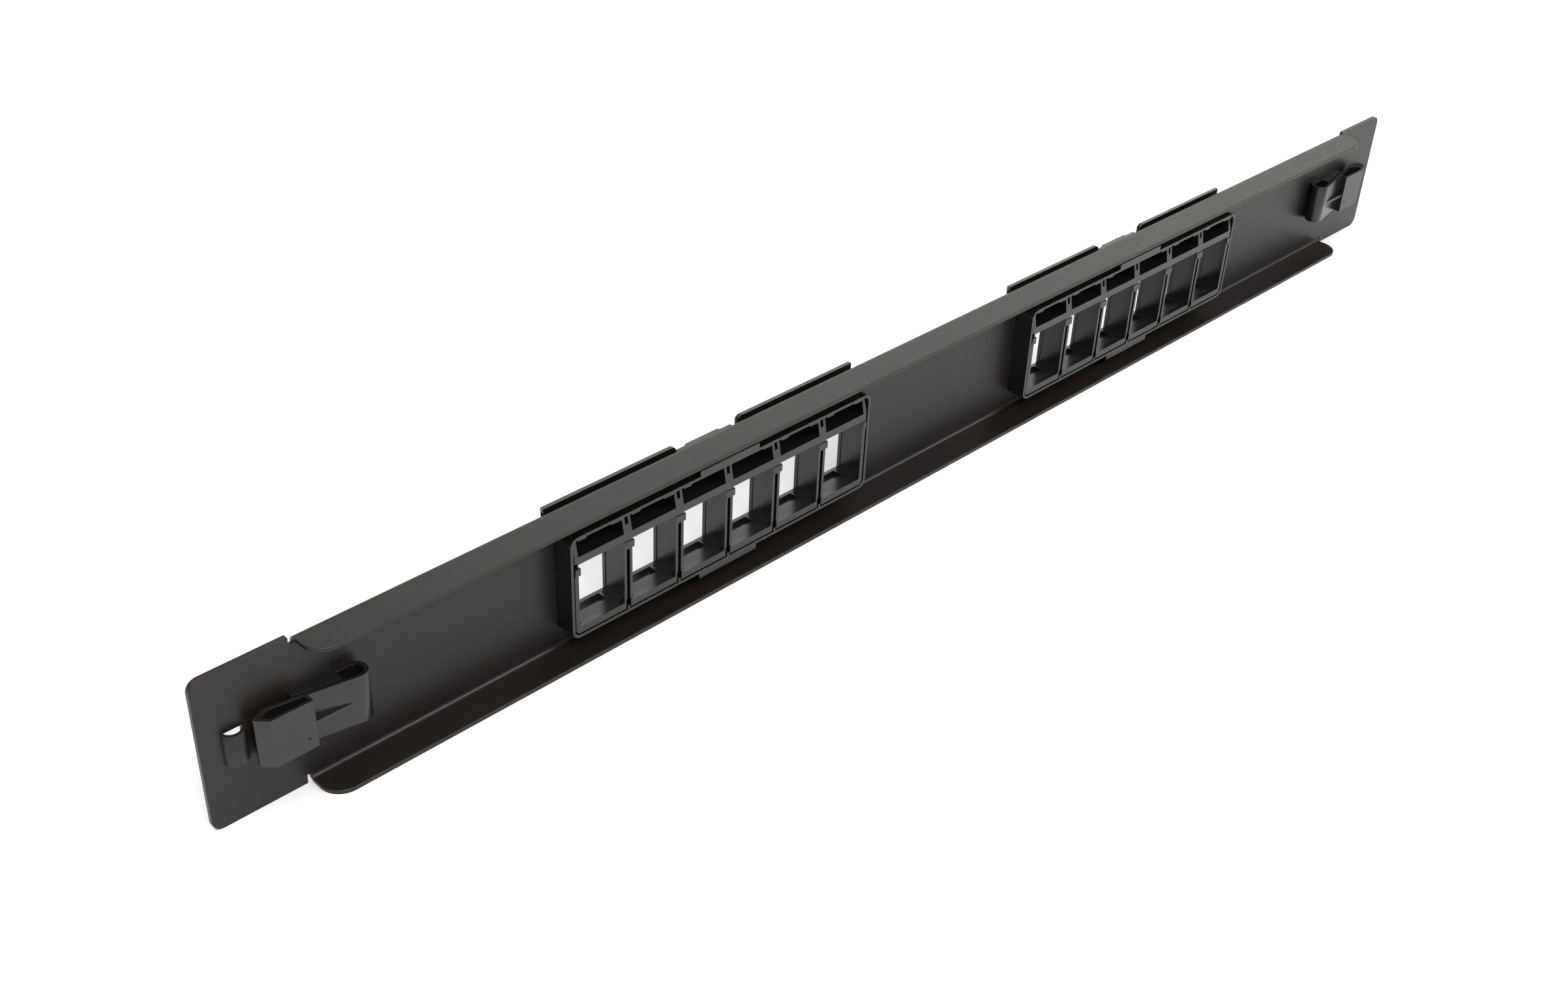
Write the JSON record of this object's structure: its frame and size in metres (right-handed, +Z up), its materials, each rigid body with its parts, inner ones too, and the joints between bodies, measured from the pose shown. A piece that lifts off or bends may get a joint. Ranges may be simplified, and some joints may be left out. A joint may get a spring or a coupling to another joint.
{
  "type": "keystone patch panel",
  "caption": "One-unit rack patch panel of folded black sheet with two groups of keystone openings, label holders, and snap clips at its ends.",
  "frame": {"origin": "centre of the rear face of the sheet, the plane that seats on the rack rails", "axes": "+X to the right seen from the front, +Y to the rear of the rack, +Z up"},
  "size_m": [0.4826, 0.0146, 0.0436],
  "materials": {
    "black_sheet": "satin powder coat",
    "black_plastic": "satin moulded",
    "clip_plastic": "satin moulded",
    "label_paper": "matt",
    "clear_cover": "clear plastic"
  },
  "bodies": {
    "panel": {"panel_sheet": "black_sheet", "port_frame_left": "black_plastic", "port_carrier_left": "black_plastic", "label_holder_left_a": "black_plastic", "label_window_left_a": "clear_cover", "label_holder_left_b": "black_plastic", "label_window_left_b": "clear_cover", "clip_base_left": "clip_plastic", "port_frame_right": "black_plastic", "port_carrier_right": "black_plastic", "label_holder_right_a": "black_plastic", "label_window_right_a": "clear_cover", "label_holder_right_b": "black_plastic", "label_window_right_b": "clear_cover", "clip_base_right": "clip_plastic"},
    "snap_latch_top_left": {"snap_latch_top_left": "black_plastic"},
    "snap_latch_bottom_left": {"snap_latch_bottom_left": "black_plastic"},
    "label_card_left_a": {"label_card_left_a": "label_paper"},
    "label_card_left_b": {"label_card_left_b": "label_paper"},
    "clip_lever_left": {"clip_lever_left": "clip_plastic"},
    "snap_latch_top_right": {"snap_latch_top_right": "black_plastic"},
    "snap_latch_bottom_right": {"snap_latch_bottom_right": "black_plastic"},
    "label_card_right_a": {"label_card_right_a": "label_paper"},
    "label_card_right_b": {"label_card_right_b": "label_paper"},
    "clip_lever_right": {"clip_lever_right": "clip_plastic"}
  },
  "joints": [
    {"name": "snap_latch_top_left_flex", "type": "hinge", "parent": "panel", "child": "snap_latch_top_left", "pos_m": [-0.089, 0.0043, 0.01665], "axis": [1, 0, 0], "range_deg": [0, 8], "stiffness_Nm_per_rad": 0.002, "springref_deg": -5.73},
    {"name": "snap_latch_bottom_left_flex", "type": "hinge", "parent": "panel", "child": "snap_latch_bottom_left", "pos_m": [-0.089, 0.0043, -0.01665], "axis": [-1, 0, 0], "range_deg": [0, 8], "stiffness_Nm_per_rad": 0.002, "springref_deg": -5.73},
    {"name": "label_card_left_a_slide", "type": "slide", "parent": "panel", "child": "label_card_left_a", "axis": [-1, 0, 0], "range_m": [0, 0.03]},
    {"name": "label_card_left_b_slide", "type": "slide", "parent": "panel", "child": "label_card_left_b", "axis": [1, 0, 0], "range_m": [0, 0.03]},
    {"name": "clip_lever_left_flex", "type": "hinge", "parent": "panel", "child": "clip_lever_left", "pos_m": [-0.2027, 0.003, 0], "axis": [0, 0, -1], "range_deg": [0, 8], "stiffness_Nm_per_rad": 0.02, "springref_deg": -5.73},
    {"name": "snap_latch_top_right_flex", "type": "hinge", "parent": "panel", "child": "snap_latch_top_right", "pos_m": [0.089, 0.0043, 0.01665], "axis": [1, 0, 0], "range_deg": [0, 8], "stiffness_Nm_per_rad": 0.002, "springref_deg": -5.73},
    {"name": "snap_latch_bottom_right_flex", "type": "hinge", "parent": "panel", "child": "snap_latch_bottom_right", "pos_m": [0.089, 0.0043, -0.01665], "axis": [-1, 0, 0], "range_deg": [0, 8], "stiffness_Nm_per_rad": 0.002, "springref_deg": -5.73},
    {"name": "label_card_right_a_slide", "type": "slide", "parent": "panel", "child": "label_card_right_a", "axis": [-1, 0, 0], "range_m": [0, 0.03]},
    {"name": "label_card_right_b_slide", "type": "slide", "parent": "panel", "child": "label_card_right_b", "axis": [1, 0, 0], "range_m": [0, 0.03]},
    {"name": "clip_lever_right_flex", "type": "hinge", "parent": "panel", "child": "clip_lever_right", "pos_m": [0.2027, 0.003, 0], "axis": [0, 0, 1], "range_deg": [0, 8], "stiffness_Nm_per_rad": 0.02, "springref_deg": -5.73}
  ]
}
